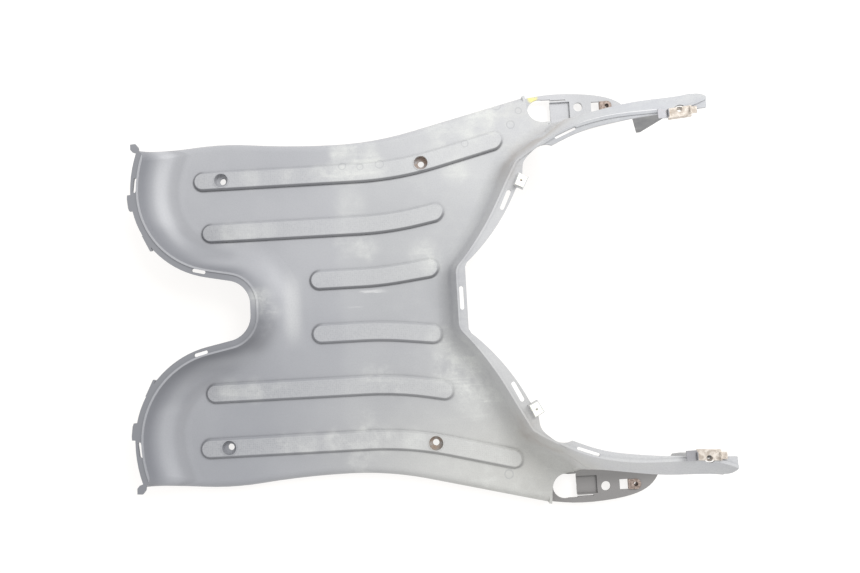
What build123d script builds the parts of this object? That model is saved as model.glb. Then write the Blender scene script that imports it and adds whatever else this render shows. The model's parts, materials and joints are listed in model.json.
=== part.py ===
from build123d import *
from math import asin, cos, degrees, radians, sin, sqrt
import os

# Scooter floorboard, drawn with the floor's top face at Z = 0.
# X runs to the rear of the scooter and Y to the rider's right; only the flaps under the arms differ by side.

# Shared sizes of the moulding
wall = 2.6
bead = 1.8
front_bead_rise = 1.0
rear_bead_rise = 0.8
lip_depth = 19.0
side_roll = 8.0
sink = 1.0
sliver = 0.001
far = 460.0
deep = 60.0

# Block the floor is cut from, and the limits that tell the wall feet and side edges from its own border
block_middle_x = -50.0
block_size = (600.0, 440.0)
foot_limit_x = (-330.0, 248.0)
foot_limit_y = 210.0
rear_foot_x = 60.0
side_edge_y = 150.0
side_edge_end_x = 190.0

# Front wall and the flange round the U notch
front_height = 27.0
front_sweep = 38.0
front_spare = 15.0
front_flange = 7.8
notch_rim_x = -62.4
notch_half_flat = 5.3
notch_radius = 32.0
notch_turn = 78.5
notch_side = 24.0
lobe_radius = 81.5
corner_radius = 115.0
corner_turn = 20.0
path_run_out = 60.0

# Side edges, from the waist forward to the bulge and rearward to the flare
waist = (15.0, 167.4)
waist_front_radius = 806.0
waist_rear_radius = 330.0
bulge_radius = 285.0
side_slope = 6.3
bulge_turn = 17.0
flare = 13.7
rear_corner_x = 211.0

# Rear wall: its foot line from the middle outward, as lengths of straight or radii with a turn
rear_fillet = 14.0
rear_root = 6.0
rear_lean = 0.33
rear_start = (122.3, 24.0)
rear_steps = [(22.0, -42.0), (235.0, 17.0), (38.0, 0), (25.0, -24.0)]
rear_wall_top = 45.0
arm_sweep = (190.0, -34.0)
arm_from = 30.0
arm_top = 110.0
arm_inset_share = 1.25
arm_foot = [(205, 139.5), (222, 151), (254, 176), (297, 211), (350, 232)]
arm_head = [(205, 104.7), (222, 119), (254, 124), (297, 126), (350, 146)]

# Crown line of the rear flange and arms, seen from the side
crown_height = 25.0
crown_start_x = 150.0
crown_rise_radius = 110.0
crown_rise = 30.0
crown_ease_radius = 589.0
crown_ease = 16.0

# Plan outline of the rear flange, arms and tongue
v_edge_x = 139.8
v_half_flat = 30.0
v_corner = (141.9, 34.4)
v_bow = (169.5, 63.5)
v_end = (193.1, 102.5)
bay = [(199.8, 116.9), (201.5, 126.9), (208.8, 135), (215, 139), (221, 139.6), (227, 137.5)]
arm_inner = [(227, 137.5), (249, 144.8), (280, 148.6), (306, 149.4)]
arm_inner_start = (1, 0.35)
arm_tip_x = 353.4
tip_flat = 8.0
tip_round = 7.8
arm_outer = [(325, 180), (300, 182), (236, 175)]
tongue = [(236, 175), (229.4, 175.4), (220.6, 178), (214.8, 184), (212, 197)]
skirt_low = [(234, 0), (242, 24.0), (254, 45.4), (270, 58.7), (303, 72.5), (350, 90.5), (380, 101)]
skirt_free_x = 238.0

# Tread ribs: middle line Y, first X, outward turn of the bend, straight run after it
rib_width = 19.4
rib_height = 3.4
rib_edge = 1.9
rib_bend_x = 36.0
rib_bend_radius = 330.0
ribs = [(134.4, -121.3, 14.3, 61.4), (80.5, -114.3, 11.0, 14.3), (27.0, -6.3, 7.0, 28.6)]

# Screw wells in the outer ribs
front_screw = (-102.1, 134.3)
rear_screw = (102.1, 140.7)
well_diameter = 14.0
well_depth = 6.0
well_ring = 0.9
well_ring_rise = 0.5
well_floor = 2.2
well_wall = 2.0
screw_hole = 6.5

# Slots: middle, length, width, angle
front_slot = ((-180.1, 128.5), 15.0, 3.2, 83.0)
lobe_slot = ((-119.5, 40.0), 14.0, 3.4, 166.0)
centre_slot = ((134.8, 0), 23.0, 4.0, 90.0)
v_slot = ((182.6, 92.5), 20.8, 4.2, 64.4)
arm_slot = ((239.2, 146.8), 19.4, 3.0, 17.7)

# Small lugs on the front flange and the loop on the V edge
front_nub = [(-182, 102.8), (-185.9, 103), (-187, 106.1), (-188, 115), (-187.8, 118.9), (-182, 119.5)]
lobe_nub = [(-171.5, 77.5), (-174.1, 78), (-166.4, 62.4), (-164, 63)]
corner_hook = [(-176, 166.5), (-178.7, 170), (-183.7, 169.7), (-183.7, 164.4), (-181.4, 161.7),
               (-177.6, 160.6), (-175, 159)]
loop_corners = [(190.5, 105), (199.4, 100.6), (205.4, 111.8), (196, 117)]
loop_band = 1.6
loop_top = 37.0
loop_depth = 5.0
loop_nut_head = 1.2
loop_nut_inset = 0.8
loop_nut_tail = 3.0
loop_nut_bore = 1.2

# Stiffening flap under the inner edge of each arm
flap_thickness = 2.2
flap_setback = 0.8
right_flap = [(290, 92), (313, 32), (316.5, 33), (331, 98)]
left_flap = [(298, 92), (310, 67.5), (318, 65), (334, 70), (346, 98), (330, 112)]

# Lower side tab and its cut-outs
tab_top = -10.4
tab_outer = [(213, 205.8), (230, 208), (250, 208.7), (270, 207.5), (290, 204.5), (310, 197), (321, 185.3)]
tab_inner = [(316.5, 181.5), (290, 176.5), (252, 173.5)]
window_centre = (228.0, 191.9)
window_radius = 12.2
window_flat = 12.0
window_height = 23.4
pad_size = (20.0, 19.0)
pad_centre = (250.0, 191.4)
pad_depth = 2.4
pad_drop = 2.0
pad_wall = 0.8
slit_size = (16.0, 1.4)
slit_centre = (248.0, 201.9)
tab_hole = (268.7, 193.9)
tab_hole_radius = 4.7
square_hole = 10.2
square_centre = (287.5, 193.2)

# Clip nuts: sheet, clearance to the plastic, and the two sizes used
sheet = 1.0
clearance = 0.25
clip_barrel_depth = 4.0
clip_barrel_wall = 1.4
clip_play = 0.8
arm_clip_x = 332.0
arm_clip_length = 19.0
arm_clip_reach = 8.4
arm_clip_screw = 5.2
arm_lug = (17.0, 4.4, 2.8)
arm_lug_step = 1.1
arm_clip_bore = 2.4
arm_clip_lead = 9.5
arm_clip_lead_tilt = 20.0
arm_clip_tail = (4.5, 6.0)
arm_clip_ear = (6.6, 2.2)
arm_clip_hole_depth = 7.8
flap_notch_depth = 8.0
tab_clip_width = 9.6
tab_clip_round = 5.1
tab_clip_screw = 5.7
tab_clip_bore = 2.2


def reach(height, radius):
    """Plan distance from the foot of a concave wall of this radius to the given height."""
    return sqrt(radius ** 2 - (radius - height) ** 2)


def both(shape):
    return shape + mirror(shape, Plane.XZ)


def front_path(outward):
    """Half of the front rim, from the middle of the notch to past the outer corner."""
    start = Line((notch_rim_x - outward, 0), (notch_rim_x - outward, notch_half_flat))
    turn = JernArc(start @ 1, start % 1, notch_radius - outward, notch_turn)
    side = Line(turn @ 1, turn @ 1 + (turn % 1) * notch_side)
    lobe = JernArc(side @ 1, side % 1, lobe_radius + outward, -notch_turn)
    corner = JernArc(lobe @ 1, lobe % 1, corner_radius + outward, -corner_turn)
    run = Line(corner @ 1, corner @ 1 + (corner % 1) * path_run_out)
    return [start, turn, side, lobe, corner, run]


def front_zone(outward):
    """Plan face of everything in front of the rim moved outward."""
    path = front_path(outward)
    end = path[-1] @ 1
    back = Polyline(end, (-far, end.Y), (-far, 0), path[0] @ 0)
    return both(make_face(path + [back]))


def side_zone(inset):
    """Plan face between the two side edges, closed square at the rear corners."""
    start = (waist[0], waist[1] - inset)
    forward = JernArc(start, (-1, 0), waist_front_radius + inset, -side_slope)
    bulge = JernArc(forward @ 1, forward % 1, bulge_radius - inset, side_slope + bulge_turn)
    rear = JernArc(start, (1, 0), waist_rear_radius + inset, flare)
    run = (rear_corner_x - (rear @ 1).X) / cos(radians(flare))
    line = Line(rear @ 1, rear @ 1 + (rear % 1) * run)
    ahead = Line(bulge @ 1, bulge @ 1 + (bulge % 1) * path_run_out)
    nose, tail = ahead @ 1, line @ 1
    close = Polyline(tail, (far, tail.Y), (far, 0), (nose.X, 0), nose)
    return both(make_face([forward, bulge, rear, line, ahead, close]))


def follow(path, steps, inset):
    """Extend a path by straights and arcs, each arc keeping its own centre when the path is moved inward."""
    for size, turn in steps:
        start, heading = path[-1] @ 1, path[-1] % 1
        if turn == 0:
            path.append(Line(start, start + heading * size))
        else:
            radius = size + inset if turn > 0 else size - inset
            path.append(JernArc(start, heading, radius, turn))
    return path


def rear_zone(inset):
    """Plan face behind the foot of the rear wall, moved rearward by inset."""
    x = rear_start[0] + inset
    path = follow([Line((x, 0), (x, rear_start[1]))], rear_steps + [arm_sweep], inset)
    last, heading = path[-1] @ 1, path[-1] % 1
    path.append(Line(last, last + heading * ((far - last.X) / heading.X)))
    path.append(Polyline(path[-1] @ 1, (far, 0), path[0] @ 0))
    return both(make_face(path))


def arm_face(points, height, inset):
    """Plan section of both arms and all between them, from points along the outer face of one arm."""
    edge = Spline(*points)
    slopes = [edge % edge.param_at_point(p) for p in points]
    points = [(p[0] + t.Y * inset, p[1] - t.X * inset) for p, t in zip(points, slopes)]
    edge = Spline(*points)
    start, last, heading = edge @ 0, edge @ 1, edge % 1
    run = Line(last, last + heading * path_run_out)
    close = Polyline(run @ 1, ((run @ 1).X, 0), (start.X, 0), start)
    return Pos(0, 0, height) * both(make_face([edge, run, close]))


def arm_body(inset):
    """The arms' outer faces, steep at the root and laid over toward the tip."""
    inset = inset * arm_inset_share
    return loft([arm_face(arm_foot, arm_from, inset), arm_face(arm_head, arm_top, inset)], ruled=True)


def rear_body(inset):
    """The leaning wall round the V, from the same foot line at every height."""
    heights = (-rear_root, rear_wall_top)
    faces = [Pos(0, 0, z) * rear_zone(inset + z * rear_lean) for z in heights]
    return loft(faces, ruled=True)


def crown_line(drop):
    """Crown of the rear flange from the side, lowered by drop."""
    level = Line((0, crown_height - drop), (crown_start_x, crown_height - drop))
    rise = JernArc(level @ 1, (1, 0), crown_rise_radius + drop, crown_rise)
    ease = JernArc(rise @ 1, rise % 1, crown_ease_radius - drop, -crown_ease)
    run = Line(ease @ 1, ease @ 1 + (ease % 1) * path_run_out)
    return [level, rise, ease, run]


def upright(edges):
    """Face drawn in X and Z, drawn out over the full width of the board."""
    face = make_face(edges)
    return extrude(Plane.XZ * face, amount=far / 2, both=True)


def crown_at(x):
    """Height and upward slope in degrees of the crown on the eased part of the arms."""
    start_x = crown_start_x + crown_rise_radius * sin(radians(crown_rise))
    start_z = crown_height + crown_rise_radius * (1 - cos(radians(crown_rise)))
    slope = asin(sin(radians(crown_rise)) - (x - start_x) / crown_ease_radius)
    return start_z + crown_ease_radius * (cos(slope) - cos(radians(crown_rise))), degrees(slope)


def below_tops(front_drop, rear_drop):
    """Everything under the top of the front flange and the rear crown, each lowered."""
    line = crown_line(rear_drop)
    end = line[-1] @ 1
    top = front_height - front_drop
    close = Polyline(end, (end.X, -deep), (-far, -deep), (-far, top), (0, top), line[0] @ 0)
    return upright(line + [close])


def level_edges(body, level):
    return body.edges().filter_by_position(Axis.Z, level - sliver, level + sliver)


def feet(body, level, low_x, high_x):
    """Edges where the walls meet the floor, between two places along the board."""
    edges = level_edges(body, level).filter_by(lambda e: low_x < e.center().X < high_x)
    return edges.filter_by(lambda e: abs(e.center().Y) < foot_limit_y)


def swell(inset):
    """Floor with the front and rear walls rising from it, both blended in at the foot."""
    block = Box(*block_size, deep - inset, align=(Align.CENTER, Align.CENTER, Align.MIN))
    block = Pos(block_middle_x, 0, -deep) * block
    front_out = front_sweep - reach(front_height, front_sweep) + inset
    front = extrude(Pos(0, 0, -deep) * front_zone(front_out), deep + front_sweep + front_spare)
    body = block + front + rear_body(inset)
    body = fillet(feet(body, -inset, foot_limit_x[0], 0), front_sweep + inset)
    body = fillet(feet(body, -inset, rear_foot_x, foot_limit_x[1]), rear_fillet + inset)
    return body + arm_body(inset)


def rolled(body, inset):
    """The swollen floor cut to its sides, with the side edges rolled over."""
    body = body & extrude(Pos(0, 0, -deep) * side_zone(inset), deep + arm_top)
    edges = level_edges(body, -inset).filter_by(lambda e: e.center().X < side_edge_end_x)
    return fillet(edges.filter_by(lambda e: abs(e.center().Y) > side_edge_y), side_roll - inset)


def plate(points, top, thickness):
    """Flat plate with a straight-sided outline."""
    return extrude(Pos(0, 0, top - thickness) * make_face(Polyline(*points, close=True)), thickness)


def slot(spec, low, high):
    middle, length, width, angle = spec
    return extrude(Pos(*middle, low) * Rot(0, 0, angle) * SlotOverall(length, width), high - low)


def peg(centre, radius, low, high):
    return Pos(*centre, low) * Cylinder(radius, high - low, align=(Align.CENTER, Align.CENTER, Align.MIN))


# Thin skin between the outer form and the same form drawn in by one wall
outer_swell = swell(0)
outer = rolled(outer_swell, 0) & below_tops(0, 0)
inner = rolled(swell(wall), wall) & below_tops(front_bead_rise + wall, rear_bead_rise + wall)
skin = outer - inner

# Flanges stepped down outside their thin raised beads
flange_top = front_height - front_bead_rise
skin -= extrude(Pos(0, 0, flange_top) * front_zone(bead), deep)
behind_bead = rear_body(bead) + arm_body(bead)
skin -= behind_bead - below_tops(0, rear_bead_rise)

# Outer edge of the front flange, and the lips hanging from the sides
skin -= extrude(Pos(0, 0, -deep) * front_zone(front_flange), 2 * deep)
skin -= Pos(0, 0, -lip_depth) * (outer_swell & below_tops(0, 0))

# V notch: straight middle, bowed sides, a small bay, then the inner edges of the arms
middle = Line((v_edge_x, 0), (v_edge_x, v_half_flat))
chamfer_edge = Line(middle @ 1, v_corner)
bow = ThreePointArc(v_corner, v_bow, v_end)
bay_edge = Spline(v_end, *bay)
arm_edge = Spline(*arm_inner, tangents=[arm_inner_start, (1, 0)])
arm_straight = Line(arm_edge @ 1, (arm_tip_x, (arm_edge @ 1).Y))
tip = arm_straight @ 1
behind = Polyline(tip, (far, tip.Y), (far, 0), middle @ 0)
v_notch = make_face([middle, chamfer_edge, bow, bay_edge, arm_edge, arm_straight, behind])
skin -= extrude(Pos(0, 0, -deep) * both(v_notch), deep + 2 * arm_top)

# Rounded arm tips, and the tongue of floor that ends under each arm
tip_end = (tip.X, tip.Y + tip_flat)
tip_arc = JernArc(tip_end, (0, 1), tip_round, 90)
rear_corner = (rear_corner_x, side_zone(0).vertices().filter_by_position(Axis.X, rear_corner_x - 1,
               rear_corner_x + 1).sort_by(Axis.Y)[-1].Y)
arm_side = Polyline(tip_arc @ 1, *arm_outer)
tongue_edge = Spline(*tongue, rear_corner)
beyond = Polyline(rear_corner, (rear_corner_x, far), (far, far), (far, 0), (tip.X, 0), tip_end)
outside = make_face([tip_arc, arm_side, tongue_edge, beyond])
skin -= extrude(Pos(0, 0, -deep) * both(outside), deep + 2 * arm_top)

# Lower edge of the arm skirts
low_edge = Spline(*skirt_low)
low_end = low_edge @ 1
under = Polyline(low_end, (low_end.X, -deep), (skirt_free_x, -deep), (skirt_free_x, 0), low_edge @ 0)
skin -= upright([low_edge, under])
skin = skin.solids().sort_by(SortBy.VOLUME)[-1]

# From here on only the right half is worked, and mirrored at the end
half = skin & Pos(0, far / 2, 0) * Box(2 * far, far, 2 * far)

# Slots through the two flanges
for spec in (front_slot, lobe_slot):
    half -= slot(spec, 0, 2 * front_height)
for spec in (centre_slot, v_slot, arm_slot):
    half -= slot(spec, 0, arm_top)

# Lugs on the front flange, and the loop that stands off the V edge
for outline in (front_nub, lobe_nub, corner_hook):
    half += plate(outline, flange_top, wall)
loop_plan = make_face(Polyline(*loop_corners, close=True))
loop_hole = offset(loop_plan, -loop_band, kind=Kind.INTERSECTION)
loop_low = loop_top - loop_depth
half += extrude(Pos(0, 0, loop_low) * loop_plan, loop_depth)
half -= extrude(loop_hole, arm_top)

# Tread ribs with rounded ends, bending outward behind the middle of the floor
for rib_y, first_x, turn, run in ribs:
    straight = Line((first_x, rib_y), (rib_bend_x, rib_y))
    bend = JernArc(straight @ 1, (1, 0), rib_bend_radius, turn)
    last = Line(bend @ 1, bend @ 1 + (bend % 1) * run)
    outline = Wire([straight, bend, last]).offset_2d(rib_width / 2)
    rib = extrude(Pos(0, 0, -sink) * make_face(outline.edges()), sink + rib_height)
    rib = chamfer(rib.faces().sort_by(Axis.Z)[-1].edges(), rib_edge)
    half += rib

# Screw wells: a boss under the floor, a ring round the mouth, and a plain hole in the bottom
well_bottom = rib_height - well_depth
well_radius = well_diameter / 2
for screw in (front_screw, rear_screw):
    boss = peg(screw, well_radius + well_wall, well_bottom - well_floor, -sink)
    ring = peg(screw, well_radius + well_ring, 0, rib_height + well_ring_rise)
    mouth = peg(screw, well_radius, well_bottom, deep)
    hole = peg(screw, screw_hole / 2, -deep, deep)
    half += boss + ring
    half -= mouth + hole

# Lug on the inner edge of each arm for its clip nut
crown_z, crown_slope = crown_at(arm_clip_x)
lug_y = tip.Y - arm_lug[1]
seat = Plane((arm_clip_x, lug_y, crown_z), x_dir=(1, 0, 0)).rotated((0, -crown_slope, 0))
lug = Box(arm_lug[0], arm_lug[1] + wall, arm_lug[2], align=(Align.CENTER, Align.MIN, Align.MAX))
half += seat * Pos(0, 0, -arm_lug_step) * lug

# Lower side tab hung from the tongue by an upstand
tab_low = tab_top - wall
tab_edge = Spline(rear_corner, *tab_outer)
tab_return = Polyline(tab_edge @ 1, *tab_inner, tongue[0])
tab_face = make_face([tab_edge, tab_return, tongue_edge])
upstand = extrude(Pos(0, 0, tab_low) * trace(tongue_edge, wall), -tab_low)
pad_shell = Box(pad_size[0], pad_size[1], wall + pad_drop, align=(Align.CENTER, Align.CENTER, Align.MAX))
tab = extrude(Pos(0, 0, tab_low) * tab_face, wall) + upstand + Pos(*pad_centre, tab_top) * pad_shell
window = Circle(window_radius) + Rectangle(window_flat, window_height, align=(Align.MIN, Align.CENTER))
square = Rectangle(square_hole, square_hole)
for centre, face in ((window_centre, window), (slit_centre, Rectangle(*slit_size)),
                     (tab_hole, Circle(tab_hole_radius)), (square_centre, square)):
    tab -= extrude(Pos(*centre, tab_low - pad_drop) * face, wall + pad_drop)
tab -= Pos(*pad_centre, tab_top) * Box(pad_size[0], pad_size[1] - 2 * pad_wall, 2 * pad_depth)


def leaf(length, width):
    """Plan of one leaf of a clip nut, from its fold over an edge at X = 0."""
    return Pos(fold_x, 0) * Rectangle(length, width, align=(Align.MIN, Align.CENTER))


def clip_nut(plan, width, grip, screw, bore):
    """Sheet nut folded over an edge at X = 0: two leaves of one plan, the fold, and the threaded barrel."""
    low = -grip - clearance - sheet
    top = extrude(Pos(0, 0, clearance) * plan, sheet)
    bottom = extrude(Pos(0, 0, low) * plan, sheet)
    fold = Box(sheet, width, clearance + sheet - low, align=(Align.MIN, Align.CENTER, Align.MIN))
    barrel = peg((screw, 0), bore + clip_barrel_wall, low - clip_barrel_depth, low + sheet)
    nut = top + bottom + Pos(fold_x, 0, low) * fold + barrel
    return nut - peg((screw, 0), bore, -far, far)


# Clip nut on each tab, folded through the square hole, with rounded leaves
fold_x = -clearance - sheet
tab_strip_x = square_centre[0] + square_hole / 2
tab_seat = Pos(tab_strip_x, square_centre[1], tab_top)
tab_leaf = leaf(tab_clip_screw - fold_x, tab_clip_width) + Pos(tab_clip_screw, 0) * Circle(tab_clip_round)
tab_clip = tab_seat * clip_nut(tab_leaf, tab_clip_width, wall, tab_clip_screw, tab_clip_bore)
tab -= tab_seat * peg((tab_clip_screw, 0), tab_clip_bore + clip_barrel_wall + clip_play, -deep, deep)
half += tab

# Clip nut on each arm, folded over its lug: an ear at either end, a raised lead-in in front and a tail behind
arm_grip = arm_lug_step + arm_lug[2]
arm_leaf = leaf(arm_clip_reach, arm_clip_length)
arm_nut = clip_nut(arm_leaf, arm_clip_length, arm_grip, arm_clip_screw, arm_clip_bore)
arm_nut = Rot(0, 0, 90) * arm_nut
ear_length, ear_rise = arm_clip_ear
ear = Box(sheet, ear_length, sheet + ear_rise, align=(Align.MIN, Align.MIN, Align.MIN))
lead = Box(arm_clip_lead, arm_clip_reach, sheet, align=(Align.MAX, Align.MIN, Align.MIN))
tail = Box(*arm_clip_tail, sheet, align=(Align.MIN, Align.MIN, Align.MIN))
clip_half = arm_clip_length / 2
arm_nut += Pos(-clip_half, 0, clearance) * ear + Pos(clip_half - sheet, 0, clearance) * ear
arm_nut += Pos(-clip_half, fold_x, clearance) * Rot(0, arm_clip_lead_tilt, 0) * lead
arm_nut += Pos(clip_half, 0, clearance) * tail
arm_clip = seat * arm_nut
arm_hole = arm_clip_bore + clip_barrel_wall + clip_play
half -= seat * peg((0, arm_clip_screw), arm_hole, -arm_clip_hole_depth, arm_clip_hole_depth)

# Soft nut in each loop: a square head on the loop, a shank through it, and a small pilot hole
loop_middle = loop_plan.center()
head = extrude(Pos(0, 0, loop_top + clearance) * offset(loop_plan, -loop_nut_inset), loop_nut_head)
shank_low = loop_low - loop_nut_tail
shank = extrude(Pos(0, 0, shank_low) * offset(loop_hole, -clearance), loop_top + clearance - shank_low)
pilot = peg((loop_middle.X, loop_middle.Y), loop_nut_bore, -deep, deep)
loop_nut = head + shank - pilot

skin = both(half)

# Flaps under the inner edges: the right one long and narrow, the left one a shallow strip
notch_length = arm_clip_length + 2 * clip_play
flap_notch_height = wall + flap_notch_depth
flap_notch = Box(notch_length, 2 * far, flap_notch_height, align=(Align.CENTER, Align.CENTER, Align.MAX))
flap_y = tip.Y + flap_setback
for outline, inner_y in ((right_flap, flap_y), (left_flap, -flap_y - flap_thickness)):
    flap = extrude(Plane.XZ * make_face(Polyline(*outline, close=True)), -flap_thickness)
    flap = Pos(0, inner_y, 0) * flap & below_tops(0, rear_bead_rise + sink)
    skin += flap - seat * flap_notch

# Set the whole on the ground with its middle over the origin
nodes = {
    "floorboard": skin,
    "right_arm_clip": arm_clip,
    "left_arm_clip": mirror(arm_clip, Plane.XZ),
    "right_tab_clip": tab_clip,
    "left_tab_clip": mirror(tab_clip, Plane.XZ),
    "right_loop_nut": loop_nut,
    "left_loop_nut": mirror(loop_nut, Plane.XZ),
}
box = Compound(list(nodes.values())).bounding_box()
place = Pos(-box.center().X, -box.center().Y, -box.min.Z)
os.makedirs("parts", exist_ok=True)
for name, shape in nodes.items():
    export_step(place * shape, f"parts/{name}.step")
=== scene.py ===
import json
from math import radians

import bpy
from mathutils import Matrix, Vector


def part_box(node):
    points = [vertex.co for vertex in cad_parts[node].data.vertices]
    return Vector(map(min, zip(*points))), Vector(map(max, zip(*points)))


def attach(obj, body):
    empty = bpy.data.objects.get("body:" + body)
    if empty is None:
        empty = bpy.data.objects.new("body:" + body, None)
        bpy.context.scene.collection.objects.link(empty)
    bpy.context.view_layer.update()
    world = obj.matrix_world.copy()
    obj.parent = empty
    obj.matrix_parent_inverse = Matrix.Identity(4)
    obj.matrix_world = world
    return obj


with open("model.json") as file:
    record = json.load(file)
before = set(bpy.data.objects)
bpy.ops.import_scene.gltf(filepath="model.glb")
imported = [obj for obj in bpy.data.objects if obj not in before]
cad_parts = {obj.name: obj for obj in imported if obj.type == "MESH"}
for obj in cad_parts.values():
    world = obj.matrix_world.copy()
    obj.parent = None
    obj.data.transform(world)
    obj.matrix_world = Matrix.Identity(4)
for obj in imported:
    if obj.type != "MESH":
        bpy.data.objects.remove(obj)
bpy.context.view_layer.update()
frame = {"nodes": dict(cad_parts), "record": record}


# The moulding: one injection-moulded sheet of grey plastic with a satin skin, worn by shoes, with grained
# tread ribs, pale scuffs, dried water rings, dirt along the rib feet, and painted light and shade in places.
# It stands on the lips of its two long sides.

class Signal:
    """A value running through a material: arithmetic on it adds the matching nodes."""

    def __init__(self, tree, socket=None):
        self.tree, self.socket = tree, socket

    def make(self, kind, settings=None, inputs=None, output=0):
        """Add a node: its settings first, then the values or links of its sockets."""
        node = self.tree.nodes.new(kind)
        for name, value in (settings or {}).items():
            setattr(node, name, value)
        for key, value in (inputs or {}).items():
            if isinstance(value, Signal):
                self.tree.links.new(value.socket, node.inputs[key])
            else:
                node.inputs[key].default_value = value
        return Signal(self.tree, node.outputs[output])

    def math(self, operation, *others):
        values = dict(enumerate((self,) + others))
        return self.make("ShaderNodeMath", {"operation": operation}, values)

    def __add__(self, other):
        return self.math("ADD", other)

    def __sub__(self, other):
        return self.math("SUBTRACT", other)

    def __mul__(self, other):
        return self.math("MULTIPLY", other)

    def __rsub__(self, other):
        return self * -1 + other

    __radd__, __rmul__ = __add__, __mul__

    def axis(self, name):
        """One of the X, Y and Z parts of a place."""
        return self.make("ShaderNodeSeparateXYZ", inputs={0: self}, output=name)

    def fade(self, start, end):
        """0 at start, 1 at end, smooth between; start may be the larger."""
        low, high, first, last = (start, end, 0, 1) if start < end else (end, start, 1, 0)
        return self.make("ShaderNodeMapRange", {"interpolation_type": "SMOOTHSTEP"},
                         {0: self, 1: low, 2: high, 3: first, 4: last})

    def band(self, start, full, until, end):
        """1 from full to until, smooth down to 0 at start and at end."""
        return self.fade(start, full) * self.fade(end, until)

    def tint(self, first, second):
        """Mix two colours by this value."""
        return self.make("ShaderNodeMix", {"data_type": "RGBA"}, {0: self, 6: first, 7: second}, 2)

    def noise(self, scale, detail=4.0, rough=0.55, stretch=(1, 1, 1)):
        """Cloudy noise over a place, drawn out along its axes by stretch."""
        drawn = self.make("ShaderNodeVectorMath", {"operation": "MULTIPLY"}, {0: self, 1: stretch})
        sockets = {"Vector": drawn, "Scale": scale, "Detail": detail, "Roughness": rough}
        return self.make("ShaderNodeTexNoise", inputs=sockets)

    def feed(self, shader, name):
        self.tree.links.new(self.socket, shader.inputs[name])


def new_material(name):
    """An empty surface, its shader, and the place on the object in metres."""
    material = bpy.data.materials.new(name)
    material.use_nodes = True
    tree = material.node_tree
    place = Signal(tree).make("ShaderNodeTexCoord", output="Object")
    return material, tree.nodes["Principled BSDF"], place


def dress(material, *nodes):
    """Give CAD pieces the finished surface in place of their plain one."""
    for node in nodes:
        for slot in frame["nodes"][node].material_slots:
            slot.material = material


# Places are in millimetres, from the middle of the four floor screws and up from the top of the floor
mounts = {mount["name"]: mount for mount in frame["record"]["mounts"]}
screw_rows = mounts["front_floor_screws"], mounts["rear_floor_screws"]
screw_middle = sum(row["pos_m"][0] * 1000 for row in screw_rows) / len(screw_rows)
floor_top = 19
plastic, shader, place = new_material("grey_plastic")
x = place.axis("X") * 1000 - screw_middle
y = place.axis("Y") * 1000
z = place.axis("Z") * 1000 - floor_top
out = y.math("ABSOLUTE")
plan = x.make("ShaderNodeCombineXYZ", inputs={0: x, 1: y})


def reach_from(spot):
    """Distance on the plan from one spot."""
    return plan.make("ShaderNodeVectorMath", {"operation": "DISTANCE"}, {0: plan, 1: (*spot, 0)}, 1)


def merge(operation, values):
    """Fold values into one, such as the MAXIMUM of masks that overlap."""
    merged, *others = values
    for value in others:
        merged = merged.math(operation, value)
    return merged


# Tread ribs, each by its middle line, its front and rear ends and the length of its bend:
# the distance from the outline of the nearest one, negative on the rib, and the side away from the window,
# used for painted shade
rib_half = 9.7
bend_x, bend_radius = 36, 330
ribs = (134.4, -121.3, 177, 81.5), (80.5, -114.3, 113, 63), (27, -6.3, 105, 40.2)
side = y.math("SIGN")
gaps = []
shades = []
for rib_y, front_end, rear_end, bend in ribs:
    along = (x - bend_x).math("MAXIMUM", 0)
    curved = along.math("MINIMUM", bend)
    straight = (along - bend).math("MAXIMUM", 0) * (bend / bend_radius)
    middle = curved * curved * (0.5 / bend_radius) + straight + rib_y
    beyond = (front_end - x).math("MAXIMUM", x - rear_end).math("MAXIMUM", 0)
    across = out - middle
    gap = (beyond * beyond + across * across).math("SQRT") - rib_half
    ahead = (front_end - x).fade(-3, 5)
    gaps.append(gap)
    shades.append((across * side).fade(2, -7).math("MAXIMUM", ahead) * gap.fade(2.6, 0))
rib_gap = merge("MINIMUM", gaps)
shaded = merge("MAXIMUM", shades)
on_rib = rib_gap.fade(-1.6, -2.4) * z.band(2.8, 3.3, 4, 5)
on_floor = z.band(-1.2, -0.3, 3.5, 6)
rib_line = rib_gap.band(-2.2, -1.0, 0.0, 2.4) * on_floor
# Rib feet: dirt all along them, and painted shade on the side away from the window
rib_foot_dirt_and_shade = rib_line * (shaded * (y.fade(-40, 0) * 0.3 + 0.4) + 0.12)

# Broad clouds, patches, fine grain, streaks along the floor, and the dotted grain of the ribs
cloud = place.noise(scale=9, detail=5)
patch = place.noise(scale=24, detail=6, rough=0.6)
spots = place.noise(scale=70, detail=5, rough=0.65)
grain = place.noise(scale=900, detail=2)
streak = place.noise(scale=60, rough=0.6, stretch=(0.25, 2.2, 1))
cells = place.make("ShaderNodeTexVoronoi", inputs={"Vector": place, "Scale": 520, "Randomness": 0.35})

# Clean plastic is darker and cooler in front and dusty toward the rear, partly dust and partly painted light
# falling off toward the front and left, with the middle wiped by shoes
clean_shaded_grey, dusty_lit_grey = (0.305, 0.312, 0.335, 1), (0.50, 0.503, 0.517, 1)
warm_grey, wiped_grey = (0.54, 0.535, 0.495, 1), (0.30, 0.303, 0.32, 1)
to_rear = x.fade(-100, 210)
to_right = y.fade(-190, 190)
dust_and_light_falloff = to_rear * 0.45 + to_right * 0.35 + cloud.fade(0.3, 0.7) * 0.2
base = dust_and_light_falloff.tint(clean_shaded_grey, dusty_lit_grey)
warm = to_rear * y.fade(-20, -170)
base = (warm * 0.7).tint(base, warm_grey)
wiped = x.band(10, 60, 125, 170) * out.fade(150, 90) * z.fade(14, 6)
base = (wiped * 0.36).tint(base, wiped_grey)

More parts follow.
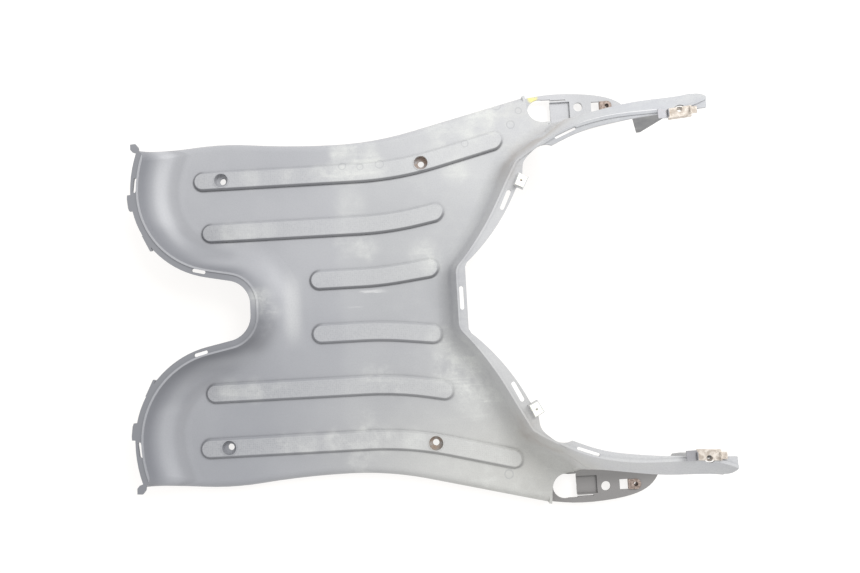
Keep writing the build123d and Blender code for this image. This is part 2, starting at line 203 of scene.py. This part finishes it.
# The rear wall is paler, the arms are blue grey with a darker left tip, and the V notch is dark
rear_wall_grey, notch_grey = (0.62, 0.622, 0.625, 1), (0.38, 0.385, 0.40, 1)
left_arm_painted_light_grey, right_arm_grey = (0.61, 0.617, 0.65, 1), (0.465, 0.478, 0.51, 1)
left_tip_grey = (0.40, 0.41, 0.44, 1)
rear_wall = x.fade(118, 165) * z.band(2, 12, 30, 60)
base = (rear_wall * 0.4).tint(base, rear_wall_grey)
# Painted light: the left arm is paler than the right, where the lamp reaches it less
arm_grey = y.fade(-120, 120).tint(left_arm_painted_light_grey, right_arm_grey)
base = (z.fade(34, 60) * 0.65).tint(base, arm_grey)
left_tip = x.fade(300, 335) * z.fade(60, 70) * y.fade(-100, -120)
base = (left_tip * 0.4).tint(base, left_tip_grey)
rear_notch = x.fade(105, 118) * out.fade(62, 40) * z.fade(20, 30)
base = (rear_notch * 0.7).tint(base, notch_grey)

# Painted shade: the left lower tab is dark, most of all toward its inner edge under the arm, and the right
# one only dull
left_tab_outer_shade, left_tab_inner_shade = (0.25, 0.241, 0.237, 1), (0.165, 0.16, 0.156, 1)
right_tab_grey = (0.36, 0.365, 0.37, 1)
on_tab = z.fade(-7, -9.5)
left_tab = on_tab * y.fade(-150, -160) * x.fade(208, 214)
base = (left_tab * 0.95).tint(base, y.fade(-197, -182).tint(left_tab_outer_shade, left_tab_inner_shade))
right_tab = on_tab * y.fade(150, 160) * x.fade(250, 275)
base = (right_tab * 0.4).tint(base, right_tab_grey)

# Under the crown line of the arms: painted light along the inner side of the right bead, lifting the shadow
# of its step, and painted shade on the flaps
crown_x, crown_height, crown_slope, crown_droop = 262, 68.6, 0.438, 0.00101
painted_light_white, flap_shade_black = (0.92, 0.92, 0.92, 1), (0.09, 0.092, 0.10, 1)
past = x - crown_x
over = z - (past * crown_slope - past * past * crown_droop + crown_height)
bead_edge_painted_light = over.band(-0.84, -0.7, -0.12, 0.0) * x.band(246, 256, 312, 318) * y.fade(100, 110)
base = (bead_edge_painted_light * 0.65).tint(base, painted_light_white)
flap_shade = over.fade(-3, -5) * x.fade(286, 289) * out.band(149, 150, 153.5, 154.5)
base = (flap_shade * 0.85).tint(base, flap_shade_black)

# Darker bands in front: painted shade on the steep top of the front wall and beside the notch, and a darker
# flange outside the wall
steep_shade_grey, flange_grey = (0.20, 0.205, 0.225, 1), (0.22, 0.225, 0.24, 1)
in_front = x.fade(-30, -60)
steep = in_front * z.band(8, 22, 25.9, 26.9) * (x.fade(-65, -95) * 0.4 + 0.6)
base = (steep * (y.fade(60, -60) * 0.1 + 0.75)).tint(base, steep_shade_grey)
flange = in_front * z.band(25.3, 25.9, 26.2, 26.6) * x.fade(-70, -110) * out.fade(172, 160)
base = (flange * 0.45).tint(base, flange_grey)
notch_side_shade = x.fade(-80, -100) * z.band(0, 4, 15, 24) * out.band(46, 58, 80, 98)
base = (notch_side_shade * 0.38).tint(base, steep_shade_grey)

# Painted highlight in a band on the front wall, painted shade along its foot, and a painted highlight on the
# ridge behind the notch
highlight_grey, ridge_highlight_grey = (0.66, 0.665, 0.68, 1), (0.66, 0.665, 0.66, 1)
foot_shade_grey = (0.20, 0.202, 0.215, 1)
painted_highlight = x.fade(-124, -150) * z.band(3, 7, 8, 14) * out.band(50, 85, 140, 185)
base = (painted_highlight * (y.fade(-60, 60) * 0.16 + 0.08)).tint(base, highlight_grey)
wall_foot_shade = x.fade(-96, -122) * z.band(0, 1, 2, 5) * out.fade(45, 70)
base = (wall_foot_shade * 0.3).tint(base, foot_shade_grey)
ridge = x.band(-47, -36, -34, -21) * out.fade(46, 12)
base = (ridge * 0.4).tint(base, ridge_highlight_grey)

# The rear half is worn paler from a faint, wavy edge across the floor
worn_grey = (0.62, 0.632, 0.61, 1)
worn = (x + cloud * 20 - 10).fade(6, 22) * on_floor * (y.fade(-60, 60) * 0.5 + 0.5)
base = (worn * 0.16).tint(base, worn_grey)

# Pale scuffing: the rear wall, the rear sides, and heel marks, each a spot, its radius and its share
scuff_grey = (0.65, 0.66, 0.635, 1)
heel_marks = (((20, 158), 9, 0.9), ((45, 157), 11, 0.8), ((31, 166), 8, 0.6),
              ((-4, 136), 8, 0.6), ((14, 136), 10, 0.9), ((34, 136), 11, 0.9),
              ((56, 138), 11, 0.9), ((-34, 135), 8, 0.4), ((-72, 134), 9, 0.4),
              ((-96, 80), 9, 0.45), ((-76, 80), 9, 0.45), ((-56, 81), 8, 0.4),
              ((28, 102), 13, 0.32), ((22, 62), 10, 0.55), ((43, 57), 11, 0.65),
              ((101, 48), 12, 0.5), ((108, 34), 9, 0.5), ((123, 168), 11, 0.5),
              ((138, 132), 11, 0.6), ((168, 176), 17, 0.6), ((-62, 12), 8, 0.6),
              ((-54, -2), 7, 0.6), ((-100, -80), 10, 0.5), ((-76, -80), 10, 0.5),
              ((-50, -80), 9, 0.4), ((48, -74), 13, 0.6), ((66, -84), 10, 0.4),
              ((-48, -134), 9, 0.5), ((-25, -134), 9, 0.6), ((4, -134), 10, 0.7),
              ((30, -134), 12, 0.8), ((50, -135), 11, 0.8), ((80, -136), 10, 0.5),
              ((26, -158), 12, 0.6), ((128, -68), 20, 0.8), ((146, -96), 18, 0.7),
              ((112, -40), 12, 0.5), ((35, -116), 9, 0.5))
scuffed = x.fade(0, 190) * 0.2 + out.fade(120, 190) * x.fade(60, 150) * 0.35
scuffed = scuffed + x.fade(112, 124) * z.fade(2, 10) * out.fade(70, 30) * 0.2
for spot, radius, share in heel_marks:
    scuffed = scuffed + reach_from(spot).fade(radius * 1.7, radius * 0.5) * share
rubbing = patch.fade(0.4, 0.6) * 0.55 + spots.fade(0.46, 0.62) * 0.4 + streak.fade(0.52, 0.68) * 0.4
scuff = (scuffed * z.fade(-9, -5) * rubbing).math("MINIMUM", 1)
base = (scuff * 0.85).tint(base, scuff_grey)

# Scratches rubbed across the middle of the floor, and rings where water dried, most of them on the right
scratch_white, ring_grey = (0.80, 0.80, 0.79, 1), (0.27, 0.28, 0.30, 1)
scratch = streak.fade(0.58, 0.66) * reach_from((42, 0)).fade(26, 12) * on_floor
base = (scratch * 0.4).tint(base, scratch_white)
water_rings = (((183, 197), 4.5), ((196, 176), 4.0), ((128, 188), 3.6),
               ((60, 142), 4.2), ((40, 140), 3.2), ((22, 142), 3.8),
               ((205, 190), 3.0), ((148, 158), 3.4), ((172, -175), 4.0))
wobble = spots * 2 - 1
ring_lines = []
for spot, radius in water_rings:
    ring_lines.append((reach_from(spot) + wobble - radius).math("ABSOLUTE").fade(0.9, 0.2))
base = (merge("MAXIMUM", ring_lines) * z.fade(-3, 0) * 0.35).tint(base, ring_grey)

# Dirt and painted shade: black along the rib feet and painted shade on the notch wall, brown dirt in the
# rear corners, rust in the rear wells
dirt_and_shade_black, dirt_brown, rust_brown = (0.10, 0.10, 0.11, 1), (0.34, 0.29, 0.25, 1), (0.30, 0.17, 0.09, 1)
# Painted shade, in patches, on the notch wall
notch_wall_shade = reach_from((-60, -26)).fade(30, 10) * z.fade(2, 12) * patch.fade(0.25, 0.5)
base = (rib_foot_dirt_and_shade * 0.85 + notch_wall_shade * 0.38).tint(base, dirt_and_shade_black)
brown = out.fade(95, 125) * x.fade(165, 195) * z.band(-4, 8, 30, 46) * patch.fade(0.4, 0.65)
base = (brown * 0.45).tint(base, dirt_brown)
rear_screws = screw_rows[1]
well_x = rear_screws["pos_m"][0] * 1000 - screw_middle
well_y = rear_screws["dims"]["spacing_y_mm"] / 2
in_well = merge("MAXIMUM", [reach_from((well_x, hand * well_y)).fade(7.4, 6.8) for hand in (1, -1)])
base = (in_well * spots.fade(0.4, 0.6) * 0.7).tint(base, rust_brown)

# Grain of the ribs, fine speckle everywhere, and a yellow smear on the right tab
rib_grain_grey, speckle_grey = (0.60, 0.605, 0.60, 1), (0.22, 0.22, 0.24, 1)
smear_yellow = (0.78, 0.72, 0.20, 1)
base = (on_rib * cells.fade(0.2, 0.75) * 0.24).tint(base, rib_grain_grey)
base = (grain.fade(0.35, 0.7) * 0.14).tint(base, speckle_grey)
smear = reach_from((222, 206)).fade(7, 3) * z.band(-14, -11, -9, -6) * spots.fade(0.35, 0.5)
base = (smear * 0.8).tint(base, smear_yellow)
base.feed(shader, "Base Color")
(cloud * 0.16 + scuff * 0.22 + on_rib * 0.08 + 0.36).feed(shader, "Roughness")
relief = grain * 0.4 + on_rib * cells * 1.6 + patch * 0.25
bump = place.make("ShaderNodeBump", inputs={"Strength": 0.35, "Distance": 0.0004, "Height": relief})
bump.feed(shader, "Normal")
shader.inputs["Specular IOR Level"].default_value = 0.42
dress(plastic, "floorboard")


# Root webs: the hollow curve of the same moulding where each arm runs down into the floor,
# a thin skin from the lower edge of the arm to the tongue of the floor, moulded in one with both.
web_top_inner, web_top_outer = Vector((225, 152.9, 30.7)), Vector((245.4, 168.4, 30.7))
foot_inner, foot_outer = Vector((218.5, 164.5, 1.2)), Vector((238, 175.8, -0.3))
foot_bend = Vector((229.8, 174.4, 0.4))
hollow_inner, hollow_outer = 2.7, 1.5
web_rows, web_columns, web_thickness = 9, 7, 0.6
for name, hand in (("right_root_web", 1), ("left_root_web", -1)):
    points = []
    for row in range(web_rows):
        down = row / (web_rows - 1)
        for column in range(web_columns):
            outward = column / (web_columns - 1)
            top = web_top_inner.lerp(web_top_outer, outward)
            foot = foot_inner.lerp(foot_bend, outward).lerp(foot_bend.lerp(foot_outer, outward), outward)
            hollow = hollow_inner + (hollow_outer - hollow_inner) * outward
            spot = top.lerp(foot, down)
            spot.z = foot.z + (top.z - foot.z) * (1 - down) ** hollow
            points.append(Vector((spot.x + screw_middle, hand * spot.y, spot.z + floor_top)) / 1000)
    corners = [row * web_columns + column
               for row in range(web_rows - 1) for column in range(web_columns - 1)]
    # The mirrored web is wound the other way
    quads = [(i, i + web_columns, i + web_columns + 1, i + 1)[::-hand] for i in corners]
    mesh = bpy.data.meshes.new(name)
    mesh.from_pydata(points, [], quads)
    mesh.shade_smooth()
    web = bpy.data.objects.new(name, mesh)
    bpy.context.scene.collection.objects.link(web)
    web.modifiers.new("skin", "SOLIDIFY").thickness = web_thickness / 1000
    mesh.materials.append(plastic)
    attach(web, "root")


# Clip nuts on the arms: folded spring steel with a dull zinc coat gone beige, grey on the lead-in leaf,
# pushed over a lug on the inner edge of each arm.
zinc, shader, place = new_material("zinc_steel")
zinc_dull, zinc_bright = (0.50, 0.44, 0.38, 1), (0.80, 0.74, 0.67, 1)
leaf_grey, rust_speck = (0.28, 0.285, 0.31, 1), (0.30, 0.18, 0.10, 1)
leaf_length, leaf_blur = 9.4, 0.5
clip_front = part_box("right_arm_clip")[0].x
mottle = place.noise(scale=260, detail=5)
coat = mottle.fade(0.35, 0.68).tint(zinc_dull, zinc_bright)
leaf = ((place.axis("X") - clip_front) * 1000).fade(leaf_length + leaf_blur, leaf_length - leaf_blur)
coat = (leaf * 0.9).tint(coat, leaf_grey)
specks = place.noise(scale=900, detail=3).fade(0.62, 0.7)
(specks * 0.6).tint(coat, rust_speck).feed(shader, "Base Color")
(mottle * 0.3 + 0.35).feed(shader, "Roughness")
shader.inputs["Metallic"].default_value = 0.35
dress(zinc, "right_arm_clip", "left_arm_clip")


# Clip nuts on the lower tabs: the same kind of nut, browned all over by rust,
# pushed through the square hole of each tab.
rust, shader, place = new_material("rusty_steel")
rust_dark, rust_pale = (0.21, 0.158, 0.132, 1), (0.44, 0.355, 0.31, 1)
bloom = place.noise(scale=420, detail=6)
bloom.fade(0.38, 0.66).tint(rust_dark, rust_pale).feed(shader, "Base Color")
(bloom * 0.3 + 0.5).feed(shader, "Roughness")
pits = place.make("ShaderNodeBump", inputs={"Strength": 0.5, "Distance": 0.0003, "Height": bloom})
pits.feed(shader, "Normal")
shader.inputs["Metallic"].default_value = 0.25
dress(rust, "right_tab_clip", "left_tab_clip")


# Soft nuts in the loops beside the V notch: natural cream nylon,
# pressed into the square loop and a little grubby in patches.
nylon, shader, place = new_material("cream_nylon")
nylon_cream, nylon_grubby = (0.92, 0.905, 0.83, 1), (0.72, 0.68, 0.58, 1)
grub = place.noise(scale=300).fade(0.5, 0.75)
(grub * 0.35).tint(nylon_cream, nylon_grubby).feed(shader, "Base Color")
(grub * 0.2 + 0.4).feed(shader, "Roughness")
shader.inputs["Subsurface Weight"].default_value = 0.1
dress(nylon, "right_loop_nut", "left_loop_nut")


# White table under the part: a plain, overexposed sheet
# that keeps only a faint, soft shadow.
table_size, table_drop = 6, 0.0005
bpy.ops.mesh.primitive_plane_add(size=table_size, location=(0, 0, -table_drop))
table = bpy.context.object
table.name = "table"
sheet, shader, place = new_material("white_table")
sheet_dim, sheet_bright, sheet_glow = (0.24, 0.235, 0.23, 1), (0.27, 0.268, 0.265, 1), (1.0, 0.985, 0.97, 1)
place.noise(scale=3).fade(0.2, 0.8).tint(sheet_dim, sheet_bright).feed(shader, "Base Color")
shader.inputs["Roughness"].default_value = 0.8
shader.inputs["Specular IOR Level"].default_value = 0.0
shader.inputs["Emission Color"].default_value = sheet_glow
shader.inputs["Emission Strength"].default_value = 0.8
table.data.materials.append(sheet)


# Daylight: an even white sky,
# with one broad lamp high on the right rear side.
sky_level = 0.85
world = bpy.data.worlds.new("sky")
world.use_nodes = True
backdrop = world.node_tree.nodes["Background"]
backdrop.inputs["Color"].default_value = (1, 1, 1, 1)
seen = Signal(world.node_tree).make("ShaderNodeLightPath", output="Is Camera Ray")
(seen * (1 - sky_level) + sky_level).feed(backdrop, "Strength")
bpy.context.scene.world = world
lamp = bpy.data.objects.new("window", bpy.data.lights.new("window", "AREA"))
lamp.data.shape = "RECTANGLE"
lamp.data.size, lamp.data.size_y = 1.2, 0.9
lamp.data.energy = 24
lamp.location = (0.85, 0.85, 1.45)
lamp.rotation_euler = (-lamp.location).to_track_quat("-Z", "Y").to_euler()
bpy.context.scene.collection.objects.link(lamp)


# Camera almost straight above, a little behind the middle and to its left,
# tilted a few degrees toward the right side and slightly turned.
tilt, lean, turn = 4.279, 0.692, -3.184
focal_pixels, photo_pixels = 650, 860
camera = bpy.data.objects.new("camera", bpy.data.cameras.new("camera"))
camera.location = (0.027, -0.0348, 0.672)
camera.rotation_euler = [radians(angle) for angle in (tilt, lean, turn)]
camera.data.sensor_width = 36
camera.data.lens = camera.data.sensor_width * focal_pixels / photo_pixels
bpy.context.scene.collection.objects.link(camera)
bpy.context.scene.camera = camera
bpy.context.scene.view_settings.view_transform = "Standard"
